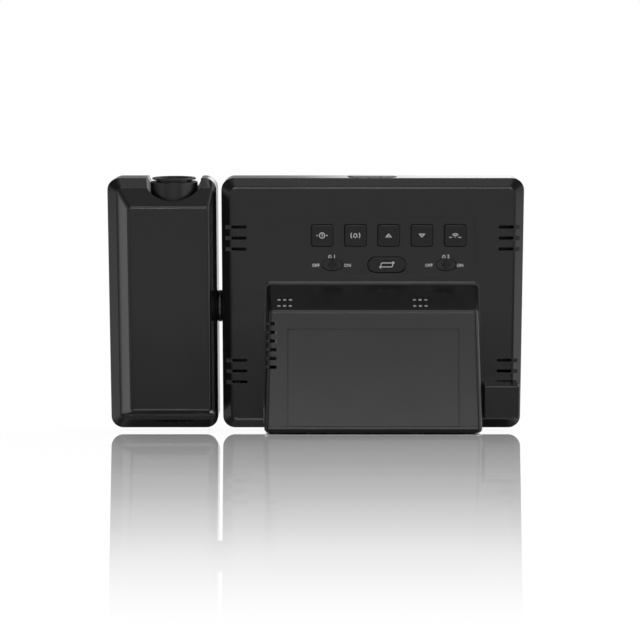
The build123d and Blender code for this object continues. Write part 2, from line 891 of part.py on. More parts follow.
def make_stand_housing():
    form = stand_form()
    shell = form - stand_hollow()
    half = door_width / 2
    seat = stand_depth - door_thickness
    shell += block(-half - seat_overlap, half + seat_overlap, seam_height,
                   door_top + seat_overlap_top, seat - seat_frame, seat)
    bay = block(-bay_half - bay_wall, bay_half + bay_wall, bay_bottom - bay_wall,
                bay_top + bay_wall, bay_floor - bay_wall, seat)
    shell += bay
    shell -= block(-bay_half, bay_half, bay_bottom, bay_top, bay_floor, stand_depth)
    shell -= block(-half, half, foot_height, door_top, seat, stand_depth)
    pocket = Pos(0, 0, -stand_wall) * Box(felt_width + 2 * felt_gap, felt_length + 2 * felt_gap,
                                          2 * (stand_wall - port_skin))
    hole = Box(port_width, port_length, 2 * stand_wall)
    for across in port_groups.values():
        shell -= on_slope(pocket, across, sum(port_rows) / 2)
        for distance in port_rows:
            for index in (-1, 0, 1):
                shell -= on_slope(hole, across + index * port_pitch, distance)
    for index in range(side_slot_count):
        up = side_slot_top - index * side_slot_pitch
        shell -= block(-stand_front_half, -side_slot_inner, up - side_slot_height / 2,
                       up + side_slot_height / 2, side_slot_front, stand_depth)
    below_seam = block(-stand_front_half - trim_margin, stand_front_half + trim_margin, 0,
                       seam_height, -trim_margin, stand_depth + trim_margin)
    bead = stand_bead() - at_rest(stand_hollow(), upright) - at_rest(below_seam, upright)
    placed = behind_cover(shell - below_seam, 0) + bead
    form_at_rest = at_rest(form, upright)
    for across, row in stand_boss_places():
        boss = rod_deep(stand_boss_radius, pad_face, boss_end, across, row)
        wall_side = math.copysign(stand_front_half, across)
        rib = block(min(across, wall_side), max(across, wall_side), row - stand_rib_half,
                    row + stand_rib_half, pad_face, boss_end)
        placed += form_at_rest & at_rest(boss + rib, leaned_body)
        pilot = rod_deep(stand_screw_radius, bevel_depth, boss_end - stand_pilot_end, across, row)
        placed -= at_rest(pilot, leaned_body)
    return placed


def stand_bead():
    """The bead where the stand's mouth meets the rear cover."""
    grown = stand_block(-bead_reach)
    grown = fillet(behind_mouth(grown), stand_edge + bead_reach)
    grown = leaned_body.location.inverse() * at_rest(grown, upright)
    bead = grown & plate(body_width, body_height, corner_radius, 0, bevel_depth + bead_thickness,
                         0, mid)
    return at_rest(bead - cover_form(0), leaned_body)


def stand_boss_places():
    return [(side * stand_boss_across, row) for side in (-1, 1) for row in stand_boss_rows]


def make_stand_screws():
    tip = boss_end - stand_pilot_end - screw_tip_gap
    return [screw(across, row, 0, -stand_screw_head_height, tip, stand_screw_radius,
                  stand_screw_head) for across, row in stand_boss_places()]


def make_base_plate():
    form = stand_form()
    keep = block(-stand_front_half - trim_margin, stand_front_half + trim_margin,
                 foot_height, seam_height, -trim_margin, stand_depth + trim_margin)
    base = form & keep
    base -= block(-stand_rear_top_half, stand_rear_top_half, foot_height + base_floor,
                  seam_height, base_pocket_front, stand_depth - stand_wall)
    depth = tongue_rear - base_front
    tongue = Pos(0, foot_height, base_front + depth / 2) * Rot(-90, 0, 0) * extrude(
        RectangleRounded(2 * base_front_half, depth, base_front_corner),
        seam_height - foot_height)
    keep_out = block(-stand_rear_top_half, stand_rear_top_half, foot_height + base_floor,
                     seam_height, base_pocket_front, stand_depth)
    base += tongue - keep_out
    for across, distance in foot_places():
        base -= rod_up(foot_radius + foot_gap, foot_height, foot_height + foot_recess,
                       across, distance)
    return behind_cover(base, base_clearance)


def foot_places():
    return [(side * across, distance) for side in (-1, 1)
            for across, distance in (rear_foot, front_foot)]


def make_feet():
    return [rod_up(foot_radius, 0, foot_height + foot_recess, across, distance)
            for across, distance in foot_places()]


def make_vent_screens():
    """Felt pads under the holes in the sloping top and behind the upper side slots."""
    pad = Pos(0, 0, -port_skin - felt_thickness / 2) * Box(felt_width, felt_length,
                                                           felt_thickness)
    screens = [on_slope(pad, across, sum(port_rows) / 2) for across in port_groups.values()]
    slot_end = -side_slot_inner
    half = slot_felt_height / 2
    rear = stand_depth - stand_wall
    screens.append(block(slot_end - slot_felt_shown, slot_end + slot_felt_lap,
                         slot_felt_middle - half, slot_felt_middle + half,
                         rear - felt_thickness, rear))
    return screens


# ---- Batteries and their lid ----

def make_battery_door():
    half = door_width / 2 - door_clearance
    low = seam_height + door_clearance
    high = door_top - door_clearance
    seat = stand_depth - door_thickness
    door = plate(2 * half, high - low, door_corner, seat + door_gap, stand_depth, 0,
                 (low + high) / 2)
    for up in (bay_bottom + catch_gap, bay_top - catch_gap - catch_height):
        door += block(-catch_half_width, catch_half_width, up, up + catch_height,
                      seat - catch_reach, seat + door_gap)
    return door


def aa_cell(up, facing):
    """One round cell lying across the bay, its nub towards one side."""
    end = facing * (bay_half - contact_thickness - aa_end_gap)
    nub_start = end - facing * aa_nub
    body_end = nub_start - facing * aa_length
    can = rod_across(aa_radius, min(nub_start, body_end), max(nub_start, body_end), up, aa_depth)
    can = chamfer(can.edges().filter_by(GeomType.CIRCLE), aa_edge)
    nub = rod_across(aa_nub_radius, min(nub_start, end), max(nub_start, end), up, aa_depth)
    return can + nub


def make_batteries():
    return [aa_cell(up, 1 if index % 2 == 0 else -1) for index, up in enumerate(cell_rows)]


def leaf_contact(up, side):
    """A bent strip that presses on the flat end of a cell."""
    wall_face = side * bay_half
    free = 2 * bay_half - contact_thickness - aa_nub - aa_length - 2 * aa_end_gap
    reach = free - contact_thickness
    tip = wall_face - side * reach
    lo = aa_depth - contact_width / 2
    path = Polyline((wall_face, up - leaf_half_height), (wall_face, up + leaf_half_height),
                    (tip, up + leaf_tip_half), (tip, up - leaf_tip_half),
                    (wall_face - side * reach * leaf_return_share, up - leaf_return_drop))
    strip = trace(path, contact_thickness)
    inner = Pos(-side * contact_thickness / 2, 0, 0) * strip
    return Pos(0, 0, lo) * extrude(inner, contact_width)


def make_battery_contacts():
    """Plates at the nub ends and bent strips at the flat ends."""
    contacts = []
    for index, up in enumerate(cell_rows):
        facing = 1 if index % 2 == 0 else -1
        face = facing * bay_half
        inner = face - facing * contact_thickness
        contacts.append(Pos((face + inner) / 2, up, aa_depth) * Box(
            contact_thickness, contact_plate, contact_plate))
        contacts.append(leaf_contact(up, -facing))
    return contacts


# ---- Projector arm ----

def block_loft(inset, low, high):
    """The raised block on the arm's back, or its hollow when inset."""
    half = arm_width / 2
    sections = []
    for left, right, bottom, top, depth, radius in (
            (block_base_left, block_base_right, block_base_bottom, block_base_top, low,
             block_corner),
            (block_top_left, block_top_right, block_top_bottom, block_top_top, high,
             block_corner)):
        width = 2 * half - left - right - 2 * inset
        height = body_height - bottom - top - 2 * inset
        across = (left - right) / 2
        up = mid + (bottom - top) / 2
        sections.append(Pos(across, up, depth) * RectangleRounded(width, height, radius))
    return loft(sections, ruled=True)


def lens_well():
    """The round well in the arm's top that the focus ring turns in."""
    return rod_up(well_radius, well_floor, body_height + wall, barrel_across, barrel_depth)


def finger_scoop(margin):
    """The round cut in the arm's front that lets a finger reach the ring."""
    return rod_deep(well_radius + margin, -front_depth, barrel_depth, barrel_across,
                    body_height + scoop_rise)


def well_lining(outer):
    """Wall and floor of the well, kept inside the arm."""
    low = well_floor - well_wall
    lining = rod_up(well_radius + well_wall, low, body_height, barrel_across, barrel_depth)
    bore = rod_up(tube_outer + bore_gap, low, body_height, barrel_across, barrel_depth)
    return (lining - bore) & outer


def make_arm_front():
    tray = housing_tray(arm_width)
    solid = plate(arm_width, body_height, corner_radius, -front_depth, -cover_band, 0, mid)
    solid = fillet(side_edges(solid, Axis.Z, 0), front_edge_radius)
    tray += well_lining(solid) + (finger_scoop(well_wall) & solid)
    side = arm_width / 2 - cradle_sink
    cradle_top = cradle_height + cradle_thickness
    cradle = block(-side, side, cradle_height, cradle_top, -front_depth + cradle_sink,
                   -cover_band - lip_depth - lip_clearance)
    cradle -= rod_up(tube_outer + bore_gap, cradle_height, cradle_top, barrel_across,
                     barrel_depth)
    tray += cradle
    tray -= lip_room(arm_width)
    tray -= lens_well() + finger_scoop(0)
    tray -= rod_across(shaft_radius + fit_gap, arm_width / 2 - wall, arm_width / 2,
                       swivel_height, swivel_depth)
    return tray


def make_arm_back():
    shell = beveled_shell(arm_width, body_height, block_base_left, block_base_right)
    shell += block_loft(0, bevel_depth, bevel_depth + block_raise)
    shell = fillet(side_edges(shell, Axis.Z, -1), block_edge)
    solid = shell
    inside = block_loft(wall, 0, bevel_depth + block_raise - wall)
    shell = shell - cover_hollow(arm_width) - inside + cover_lip(arm_width)
    shell += well_lining(solid)
    shell -= lens_well()
    clear = shaft_flange_radius + flange_margin
    shell -= block(arm_width / 2 - wall - 2 * lip_wall, arm_width / 2 - wall,
                   swivel_height - clear, swivel_height + clear,
                   -cover_band - lip_depth, -cover_band)
    for index in range(arm_vent_count):
        across = arm_vent_middle + (index - 2) * arm_vent_pitch
        shell -= block(across - arm_vent_width / 2, across + arm_vent_width / 2,
                       arm_vent_row - arm_vent_height / 2, arm_vent_row + arm_vent_height / 2,
                       -cover_band - lip_depth, bevel_depth)
    return shell


def make_optics_tube():
    tube = rod_up(tube_outer, tube_bottom, tube_top, barrel_across, barrel_depth)
    rest = cradle_height + cradle_thickness
    tube += rod_up(tube_outer + shoulder_width, rest, rest + shoulder_height, barrel_across,
                   barrel_depth)
    return tube - rod_up(tube_inner, tube_bottom, tube_top, barrel_across, barrel_depth)


def make_led_board():
    return rod_up(led_board_radius, tube_bottom - led_board_thickness, tube_bottom,
                  barrel_across, barrel_depth)


def make_projector_led():
    base_top = tube_bottom + led_height
    base = Pos(barrel_across, tube_bottom + led_height / 2, barrel_depth) * Box(
        led_size, led_height, led_size)
    dome = rod_up(led_dome_radius, base_top, base_top + led_dome_height, barrel_across,
                  barrel_depth)
    return base + fillet(side_edges(dome, Axis.Y, -1), led_dome_rounding)


def lens(radius, thickness, bottom, bulge):
    """A round lens on the optical axis, flat below and bulged above."""
    edge_top = bottom + thickness - bulge
    top = bottom + thickness
    curve = (radius ** 2 + bulge ** 2) / (2 * bulge)
    outline = [Line((0, bottom), (radius, bottom)), Line((radius, bottom), (radius, edge_top)),
               RadiusArc((radius, edge_top), (0, top), -curve), Line((0, top), (0, bottom))]
    body = revolve(make_face(Curve() + outline), Axis.Y, 360)
    return Pos(barrel_across, 0, barrel_depth) * body


def make_condenser_lens():
    return lens(tube_inner - fit_gap, condenser_thickness, condenser_bottom, condenser_bulge)


def make_image_panel():
    """Small display that forms the projected digits, in a round carrier."""
    top = image_bottom + image_thickness
    carrier = rod_up(tube_inner - fit_gap, image_bottom, top, barrel_across, barrel_depth)
    window = Pos(barrel_across, top, barrel_depth) * Box(image_width, image_thickness / 2,
                                                         image_depth)
    return carrier - window


def make_focus_ring():
    ring = rod_up(ring_radius, ring_bottom, ring_top, barrel_across, barrel_depth)
    ring = fillet(side_edges(ring, Axis.Y, -1), ring_edge)
    ring -= rod_up(ring_inner, ring_bottom, ring_top - ring_lip, barrel_across, barrel_depth)
    ring -= rod_up(cell_radius + ring_lip_gap, ring_bottom, ring_top, barrel_across, barrel_depth)
    return ring


def make_lens_cell():
    flange = rod_up(cell_flange_radius, cell_flange_bottom, cell_top, barrel_across,
                    barrel_depth)
    cell = fillet(side_edges(flange, Axis.Y, -1), cell_edge)
    cell += rod_up(cell_radius, cell_bottom, cell_flange_bottom, barrel_across, barrel_depth)
    cell -= rod_up(cell_recess_radius, cell_top - cell_recess_depth, cell_top, barrel_across,
                   barrel_depth)
    cell -= rod_up(cell_radius - cell_wall, cell_bottom, lens_seat - lens_ledge_height,
                   barrel_across, barrel_depth)
    cell -= rod_up(lens_radius - lens_ledge, cell_bottom, cell_top, barrel_across, barrel_depth)
    return cell - rod_up(lens_radius + lens_gap, lens_seat, cell_top, barrel_across,
                         barrel_depth)


def make_projection_lens():
    return lens(lens_radius, lens_thickness, lens_seat, lens_bulge)


def make_lens_retainer():
    low = lens_seat + lens_thickness - lens_bulge + retainer_gap
    ring = rod_up(lens_radius, low, low + retainer_height, barrel_across, barrel_depth)
    return ring - rod_up(lens_radius - lens_grip, low, low + retainer_height, barrel_across,
                         barrel_depth)


# ---- Swivel pieces, drawn in the main housing's frame ----

def make_swivel_shaft():
    arm_face = body_left - arm_gap
    arm_inner = arm_face - wall
    collar_end = body_left - collar_clearance
    collar = rod_across(collar_radius, arm_face, collar_end, swivel_height, swivel_depth)
    collar = fillet(collar.edges(), collar_rounding)
    clip_left = boss_face + washer_thickness + clip_gap
    shaft_end = clip_left + clip_thickness + shaft_end_margin
    shaft = rod_across(shaft_radius, arm_inner, shaft_end, swivel_height, swivel_depth)
    flange = rod_across(shaft_flange_radius, arm_inner - shaft_flange_thickness, arm_inner,
                        swivel_height, swivel_depth)
    bore = rod_across(shaft_bore, arm_inner - shaft_flange_thickness, shaft_end,
                      swivel_height, swivel_depth)
    clip_slot = rod_across(shaft_radius, clip_left, clip_left + clip_thickness, swivel_height,
                           swivel_depth)
    clip_slot -= rod_across(shaft_radius - groove_in_shaft, clip_left,
                            clip_left + clip_thickness, swivel_height, swivel_depth)
    return collar + shaft + flange - bore - clip_slot


def make_friction_washer():
    right = boss_face + washer_thickness
    washer = rod_across(washer_radius, boss_face + washer_gap, right, swivel_height,
                        swivel_depth)
    return washer - rod_across(shaft_radius + washer_bore_gap, boss_face, right, swivel_height,
                               swivel_depth)


def make_retaining_clip():
    left = boss_face + washer_thickness + clip_gap + clip_end_gap
    right = left + clip_thickness - 2 * clip_end_gap
    clip = rod_across(clip_radius, left, right, swivel_height, swivel_depth)
    clip -= rod_across(shaft_radius - groove_in_shaft + fit_gap, left, right, swivel_height,
                       swivel_depth)
    mouth = block(left, right, swivel_height - clip_mouth / 2, swivel_height + clip_mouth / 2,
                  swivel_depth, swivel_depth + clip_radius)
    return clip - mouth


# ---- Assembly ----

def body_frame_pieces():
    pieces = {
        "front_housing": make_front_housing(),
        "rear_cover": make_rear_cover(),
        "display_window": make_display_window(),
        "display_panel": make_display_panel(),
        "light_diffuser": make_diffuser(),
        "backlight_frame": make_backlight_frame(),
        "main_board": make_main_board(),
        "board_screws": make_board_screws(),
        "board_parts": make_board_parts(),
        "buzzer": make_buzzer(),
        "tact_switches": make_tact_switches(),
        "slide_switch_bodies": make_slide_switch_bodies(),
        "snooze_button": make_snooze_button(),
        "power_socket": make_power_socket(),
        "socket_pin": make_socket_pin(),
        "stand_screws": make_stand_screws(),
        "swivel_shaft": make_swivel_shaft(),
        "friction_washer": make_friction_washer(),
        "retaining_clip": make_retaining_clip(),
    }
    for name, width, height, radius, across, up in button_places():
        pieces[name] = make_button(width, height, radius, across, up)
    for name, across in switch_places().items():
        pieces[name] = make_slider(across)
    return pieces


def arm_frame_pieces():
    return {
        "arm_front_shell": make_arm_front(),
        "arm_back_shell": make_arm_back(),
        "optics_tube": make_optics_tube(),
        "led_board": make_led_board(),
        "projector_led": make_projector_led(),
        "condenser_lens": make_condenser_lens(),
        "image_panel": make_image_panel(),
        "focus_ring": make_focus_ring(),
        "lens_cell": make_lens_cell(),
        "projection_lens": make_projection_lens(),
        "lens_retainer": make_lens_retainer(),
    }


def upright_pieces():
    return {
        "rubber_feet": make_feet(),
        "vent_screens": make_vent_screens(),
        "battery_door": make_battery_door(),
        "batteries": make_batteries(),
        "battery_contacts": make_battery_contacts(),
    }


def joined(piece, frame):
    """A piece, or a group of separate pieces, in the standing clock."""
    if isinstance(piece, list):
        return Compound([solid for part in piece for solid in at_rest(part, frame).solids()])
    return at_rest(piece, frame)


def assemble():
    placed = {"stand_housing": make_stand_housing(), "base_plate": make_base_plate()}
    for pieces, frame in ((body_frame_pieces(), leaned_body), (arm_frame_pieces(), leaned_arm),
                          (upright_pieces(), upright)):
        for name, piece in pieces.items():
            placed[name] = joined(piece, frame)
    box = Compound([solid for piece in placed.values() for solid in piece.solids()]
                   ).bounding_box()
    centre = Pos(-(box.min.X + box.max.X) / 2, -(box.min.Y + box.max.Y) / 2, -box.min.Z)
    return {name: centre * piece for name, piece in placed.items()}, centre


clock, centring = assemble()
os.makedirs("parts", exist_ok=True)
for name, piece in clock.items():
    export_step(piece, f"parts/{name}.step")
print("nodes:", len(clock))
print("centring:", centring.position)
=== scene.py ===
# %% [markdown]
# # A projection alarm clock, seen from behind
#
# The clock is a black plastic housing that leans on a battery stand, with a narrow
# projector arm beside it. Its back carries the buttons, so its back is what we dress most
# carefully: satin moulded shells, white printed marks, and a floor that mirrors it. The
# packed model brings every solid piece in its place, so this lesson adds what a solid
# can't carry: finish, print, glowing digits, light, and the floor.

# %% Load the frame
import bpy
import json
import math
from mathutils import Matrix, Vector


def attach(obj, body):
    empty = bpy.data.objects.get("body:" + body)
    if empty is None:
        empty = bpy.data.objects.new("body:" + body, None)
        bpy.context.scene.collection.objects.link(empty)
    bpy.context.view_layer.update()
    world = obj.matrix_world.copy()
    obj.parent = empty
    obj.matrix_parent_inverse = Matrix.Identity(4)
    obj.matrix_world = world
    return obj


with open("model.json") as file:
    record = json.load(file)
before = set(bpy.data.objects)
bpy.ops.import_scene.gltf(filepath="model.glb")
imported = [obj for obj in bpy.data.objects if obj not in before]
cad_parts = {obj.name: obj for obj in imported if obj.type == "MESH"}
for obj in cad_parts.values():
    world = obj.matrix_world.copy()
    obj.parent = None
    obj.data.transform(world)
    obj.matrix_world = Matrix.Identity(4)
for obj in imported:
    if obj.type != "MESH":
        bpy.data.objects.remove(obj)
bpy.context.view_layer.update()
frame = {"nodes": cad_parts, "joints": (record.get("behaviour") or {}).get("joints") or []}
nodes = frame["nodes"]
mm = 0.001
print("pieces in the frame:", len(nodes))

# %% [markdown]
# ## Directions on a leaning clock
#
# The housing leans, so "up the back" isn't straight up. The joints already know the
# directions: every rear button slides into the cover, and the snooze button slides down
# the housing. Reading them from the frame keeps each mark on its button if the lean
# changes.

# %% Directions and reaches
axes = {joint["name"]: Vector(joint["axis"]) for joint in frame["joints"]}
out_back = -axes["time_button_press"]
up_back = -axes["snooze_press"]
across_back = Vector((-1, 0, 0))
across_front = -across_back
to_camera = Vector((0, 1, 0))


def reach(node, direction):
    """The lowest and highest reach of a node along a direction, in metres."""
    heights = [vertex.co.dot(direction) for vertex in nodes[node].data.vertices]
    return min(heights), max(heights)


def middle(node, direction):
    low, high = reach(node, direction)
    return (low + high) / 2


print("lean:", round(math.degrees(math.asin(up_back.y)), 2), "degrees")

# %% [markdown]
# ## Camera
#
# A long lens far away keeps the clock's sides nearly parallel, as in a product picture.
# The camera stands behind the clock, level, and low: its height is less than half the
# clock's.

# %% Camera
camera_height = 56 * mm
camera_distance = 896.9 * mm
camera_aside = -2.125 * mm
focal_pixels = 1786
picture_pixels = 640
sensor = 36

camera = bpy.data.objects.new("camera", bpy.data.cameras.new("camera"))
camera.data.sensor_width = sensor
camera.data.lens = focal_pixels / picture_pixels * sensor
camera.location = (camera_aside, camera_distance, camera_height)
camera.rotation_euler = (math.pi / 2, 0, math.pi)
bpy.context.scene.collection.objects.link(camera)
bpy.context.scene.camera = camera
bpy.context.scene.view_settings.view_transform = "Standard"
print("lens:", round(camera.data.lens, 1), "mm")

# %% [markdown]
# ## Shader maths in plain expressions
#
# A finish is easier to read as a formula than as a web of nodes. The class below wraps a
# node's socket, so that adding or multiplying two sockets adds the Math node for it. The
# reflected forms let a plain number stand first, as in 1 - mask.

# %% Sockets that calculate
class Wire:
    """A shader socket that can be used in an expression."""

    def __init__(self, tree, socket):
        self.tree = tree
        self.socket = socket

    def maths(self, operation, *values):
        return self.tree.add("ShaderNodeMath", {"operation": operation},
                             dict(enumerate(values)))

    def __add__(self, other):
        return self.maths("ADD", self, other)

    def __radd__(self, other):
        return self.maths("ADD", other, self)

    def __sub__(self, other):
        return self.maths("SUBTRACT", self, other)

    def __rsub__(self, other):
        return self.maths("SUBTRACT", other, self)

    def __mul__(self, other):
        return self.maths("MULTIPLY", self, other)

    def __rmul__(self, other):
        return self.maths("MULTIPLY", other, self)

    def __abs__(self):
        return self.maths("ABSOLUTE", self)

    def at_most(self, other):
        return self.maths("MINIMUM", self, other)

    def rise(self, low, high):
        """0 below one value and 1 above another, with a soft step between them."""
        return self.tree.add("ShaderNodeMapRange", {"interpolation_type": "SMOOTHSTEP"},
                             {0: self, 1: low, 2: high})


print("a Wire also knows:", ", ".join(name for name in vars(Wire) if name[0] != "_"))

# %% [markdown]
# ## One way to add a node
#
# Every node needs the same four things: its kind, its settings, what goes into its
# sockets, and which output we want. One method does that. It makes the settings first,
# because some sockets only work once a setting is made. The same tree serves a surface,
# the floor and the room's light.

# %% A node tree
class Tree:
    """The nodes of a material or of the world."""

    def __init__(self, owner):
        owner.use_nodes = True
        self.owner = owner
        self.nodes = owner.node_tree.nodes
        self.links = owner.node_tree.links
        self.nodes.clear()

    def add(self, kind, settings=None, sockets=None, output=0):
        node = self.nodes.new(kind)
        for key, value in (settings or {}).items():
            if key == "stops":
                self.set_stops(node.color_ramp, value)
            else:
                setattr(node, key, value)
        for key, value in (sockets or {}).items():
            if isinstance(value, Wire):
                self.links.new(value.socket, node.inputs[key])
            else:
                node.inputs[key].default_value = value
        return Wire(self, node.outputs[output]) if node.outputs else node

    def set_stops(self, ramp, stops):
        while len(ramp.elements) < len(stops):
            ramp.elements.new(1.0)
        for element, (place, level) in zip(ramp.elements, stops):
            element.position = place
            element.color = (level, level, level, 1)

    def split(self, vector):
        """The three parts of a vector."""
        node = self.nodes.new("ShaderNodeSeparateXYZ")
        self.links.new(vector.socket, node.inputs[0])
        return [Wire(self, socket) for socket in node.outputs]


print("a Tree knows:", ", ".join(name for name in vars(Tree) if name[0] != "_"))

# %% [markdown]
# ## What the finishes share
#
# Every finish on the clock is made of the same few parts: a noise whose blobs have a real
# size, two tones of a colour that it mixes, a bump, and Blender's all-round shader. The
# noise takes its place from the object's own coordinates, so it stays on a piece that
# moves.

# %% A finish
class Finish(Tree):
    """The nodes of one surface."""

    def place(self):
        return self.add("ShaderNodeTexCoord", output=3)

    def noise(self, size, detail=2, distortion=0.0):
        """Soft cloud noise with blobs of a size in metres, about 0.5 on average."""
        return self.add("ShaderNodeTexNoise", None, {
            "Vector": self.place(), "Scale": 1 / size, "Detail": detail,
            "Distortion": distortion})

    def dot(self, first, second):
        return self.add("ShaderNodeVectorMath", {"operation": "DOT_PRODUCT"},
                        {0: first, 1: second}, output=1)

    def mix(self, factor, first, second):
        """One colour turning into another."""
        return self.add("ShaderNodeMix", {"data_type": "RGBA"},
                        {0: factor, 6: first, 7: second}, output=2)

    def tones(self, factor, level, low, high, warmth=0.0):
        """A grey that varies between two shares of its level."""
        return self.mix(factor, grey(level * low, warmth), grey(level * high, warmth))

    def bump(self, height, distance, normal=None):
        sockets = {"Height": height, "Distance": distance}
        if normal is not None:
            sockets["Normal"] = normal
        return self.add("ShaderNodeBump", None, sockets)

    def show(self, surface):
        self.add("ShaderNodeOutputMaterial", None, {"Surface": surface})
        return self.owner

    def shade(self, **sockets):
        """Show the all-round shader with these sockets, and return the material."""
        return self.show(self.add("ShaderNodeBsdfPrincipled", None, {
            key.replace("_", " "): value for key, value in sockets.items()}))


def new_finish(name):
    return Finish(bpy.data.materials.new(name))


def grey(level, warmth=0.0):
    """A neutral colour of a linear level, a little warmer or cooler."""
    return (level * (1 + warmth), level, level * (1 - warmth), 1)


def paint(material, *names):
    for name in names:
        for slot in nodes[name].material_slots:
            slot.material = material
    print(material.name, "on", len(names))


print("a Finish adds:", ", ".join(name for name in vars(Finish) if name[0] != "_"))

# %% [markdown]
# ## Moulded black plastic
#
# The shells are black plastic from a finely spark-eroded mould: a tiny, even grain under
# a satin sheen. Nearly all that we see of black plastic is what it mirrors, so the colour
# stays almost black and the roughness does the work. Two noises make it: a small one for
# the grain, and a slow one for the uneven sheen that handling leaves. The Bevel node
# rounds what the solid leaves sharp, and where it does, the grain is rubbed a little
# smoother. We find those places by how far the rounded normal turns away from the true
# one.

# %% Moulded plastic
crisp_edge, soft_edge, stand_edge = 0.1 * mm, 0.4 * mm, 0.5 * mm
sheen_size = 22 * mm
grain_shine = 0.06
sheen_shine = 0.06
edge_shine = 0.04
edge_gain = 6.0


def moulded(name, level, roughness, grain_size, grain_height, edge_radius=soft_edge,
            gloss=0.5, reshape=None):
    """Textured plastic: grain, uneven sheen and softened edges."""
    finish = new_finish(name)
    soft = finish.add("ShaderNodeBevel", {"samples": 4}, {"Radius": edge_radius})
    if reshape:
        soft = reshape(finish, soft)
    true = finish.add("ShaderNodeNewGeometry", output=1)
    edges = ((1 - finish.dot(soft, true)) * edge_gain).at_most(1.0)
    grain = finish.noise(grain_size, detail=3)
    sheen = finish.noise(sheen_size, detail=4) - 0.5
    uneven = (grain - 0.5) * grain_shine + sheen * sheen_shine - edges * edge_shine
    return finish.shade(Base_Color=finish.tones(grain, level, low=0.7, high=1.3),
                        Roughness=uneven + roughness, Specular_IOR_Level=gloss,
                        Normal=finish.bump(grain, grain_height, soft))


print("edges rounded by", crisp_edge / mm, "to", stand_edge / mm, "mm")

# %% [markdown]
# ## The bead round the stand
#
# A thin bead runs where the stand's mouth meets the rear cover. Its solid has square
# edges, and a square edge shows no line of light. Leaning its shading normal out and up
# gives it the pale line of a rounded one. Of all that shows of the stand, the bead lies
# nearest the cover, so the depth along the cover's own direction says where it is.

# %% Bead
bead_above_buttons = 0.65 * mm
bead_plane = reach("time_button", out_back)[1] + bead_above_buttons
bead_fade = (0.05 * mm, 0.15 * mm)
bead_lean = out_back * 1.6 + up_back * 0.35


def round_bead(finish, normal):
    """Lean a normal outwards and up where the stand's bead is."""
    depth = finish.dot(finish.place(), out_back)
    in_bead = 1 - (depth - bead_plane).rise(*bead_fade)
    lean = finish.add("ShaderNodeVectorMath", {"operation": "SCALE"},
                      {0: bead_lean, 3: in_bead})
    leaning = finish.add("ShaderNodeVectorMath", None, {0: normal, 1: lean})
    return finish.add("ShaderNodeVectorMath", {"operation": "NORMALIZE"}, {0: leaning})


print("bead ends", round(bead_plane / mm, 2), "mm out along the back's direction")

# %% [markdown]
# ## Which black goes where
#
# Pieces from different moulds never match quite. The stand and its door are a shade paler
# and duller than the shells, the buttons are blacker, and the ring and cell round the
# lens are rougher. What lies inside gets a plain dull black, because only slits show it.

# %% Blacks
shell_black = moulded("shell_black", level=0.0075, roughness=0.20, grain_size=0.30 * mm,
                      grain_height=0.0015 * mm, edge_radius=crisp_edge)
stand_black = moulded("stand_black", level=0.0085, roughness=0.22, grain_size=0.32 * mm,
                      grain_height=0.0015 * mm, edge_radius=stand_edge, gloss=0.45,
                      reshape=round_bead)
door_black = moulded("door_black", level=0.0085, roughness=0.22, grain_size=0.32 * mm,
                     grain_height=0.0015 * mm, edge_radius=crisp_edge, gloss=0.45)
button_black = moulded("button_black", level=0.005, roughness=0.26, grain_size=0.20 * mm,
                       grain_height=0.001 * mm, gloss=0.38)
ring_black = moulded("ring_black", level=0.007, roughness=0.36, grain_size=0.18 * mm,
                     grain_height=0.002 * mm)
hidden_black = moulded("hidden_black", level=0.010, roughness=0.45, grain_size=0.40 * mm,
                       grain_height=0.004 * mm)
buttons = [name for name in nodes if name.endswith("_button")]
sliders = [name for name in nodes if name.endswith("_slider")]
paint(shell_black, "front_housing", "rear_cover", "arm_front_shell", "arm_back_shell")
paint(stand_black, "stand_housing", "base_plate")
paint(door_black, "battery_door")
paint(button_black, *buttons, *sliders, "power_socket")
paint(ring_black, "focus_ring", "lens_cell", "lens_retainer", "swivel_shaft")
paint(hidden_black, "optics_tube", "board_parts", "buzzer", "tact_switches",
      "slide_switch_bodies")

# %% [markdown]
# ## Felt
#
# Behind the slots lie pads of white felt, which is why some openings look pale. Felt is a
# mat of fibres: we mix a fine, distorted noise for the fibres with a slow one for clumps,
# and let the fibres lift the surface. A little sheen stands for the fluff. The washer in
# the swivel is the same felt in black.

# %% Felt
fibre_share = 0.6


def felt(name, level):
    finish = new_finish(name)
    fibres = finish.noise(0.25 * mm, detail=4, distortion=2.5)
    clumps = finish.noise(1.6 * mm)
    mat = fibres * fibre_share + clumps * (1 - fibre_share)
    return finish.shade(
        Base_Color=finish.tones(mat, level, low=0.75, high=1.12, warmth=0.02),
        Roughness=0.95, Sheen_Weight=0.3, Normal=finish.bump(fibres, 0.12 * mm))


paint(felt("screen_felt_white", level=0.78), "vent_screens")
paint(felt("washer_felt_black", level=0.03), "friction_washer")

# %% [markdown]
# ## Milky plastic and rubber
#
# The light guide is milky and its frame is white. Both are smooth mouldings, so a slow,
# slightly distorted noise is enough: the marks of plastic that flowed. The feet are
# rubber, which is the moulded finish again, only duller and coarser.

# %% Milky plastic and rubber
def pale(name, level, roughness, warmth=0.0):
    """White or milky moulded plastic with faint flow marks."""
    finish = new_finish(name)
    flow = finish.noise(9 * mm, distortion=1.5)
    return finish.shade(
        Base_Color=finish.tones(flow, level, low=0.92, high=1.05, warmth=warmth),
        Roughness=flow * 0.12 + roughness, Normal=finish.bump(flow, 0.02 * mm))


paint(pale("milky_plastic", level=0.80, roughness=0.40), "light_diffuser")
paint(pale("frame_white", level=0.74, roughness=0.45, warmth=0.01), "backlight_frame")
paint(moulded("foot_rubber_black", level=0.014, roughness=0.78, grain_size=0.5 * mm,
              grain_height=0.012 * mm), "rubber_feet")

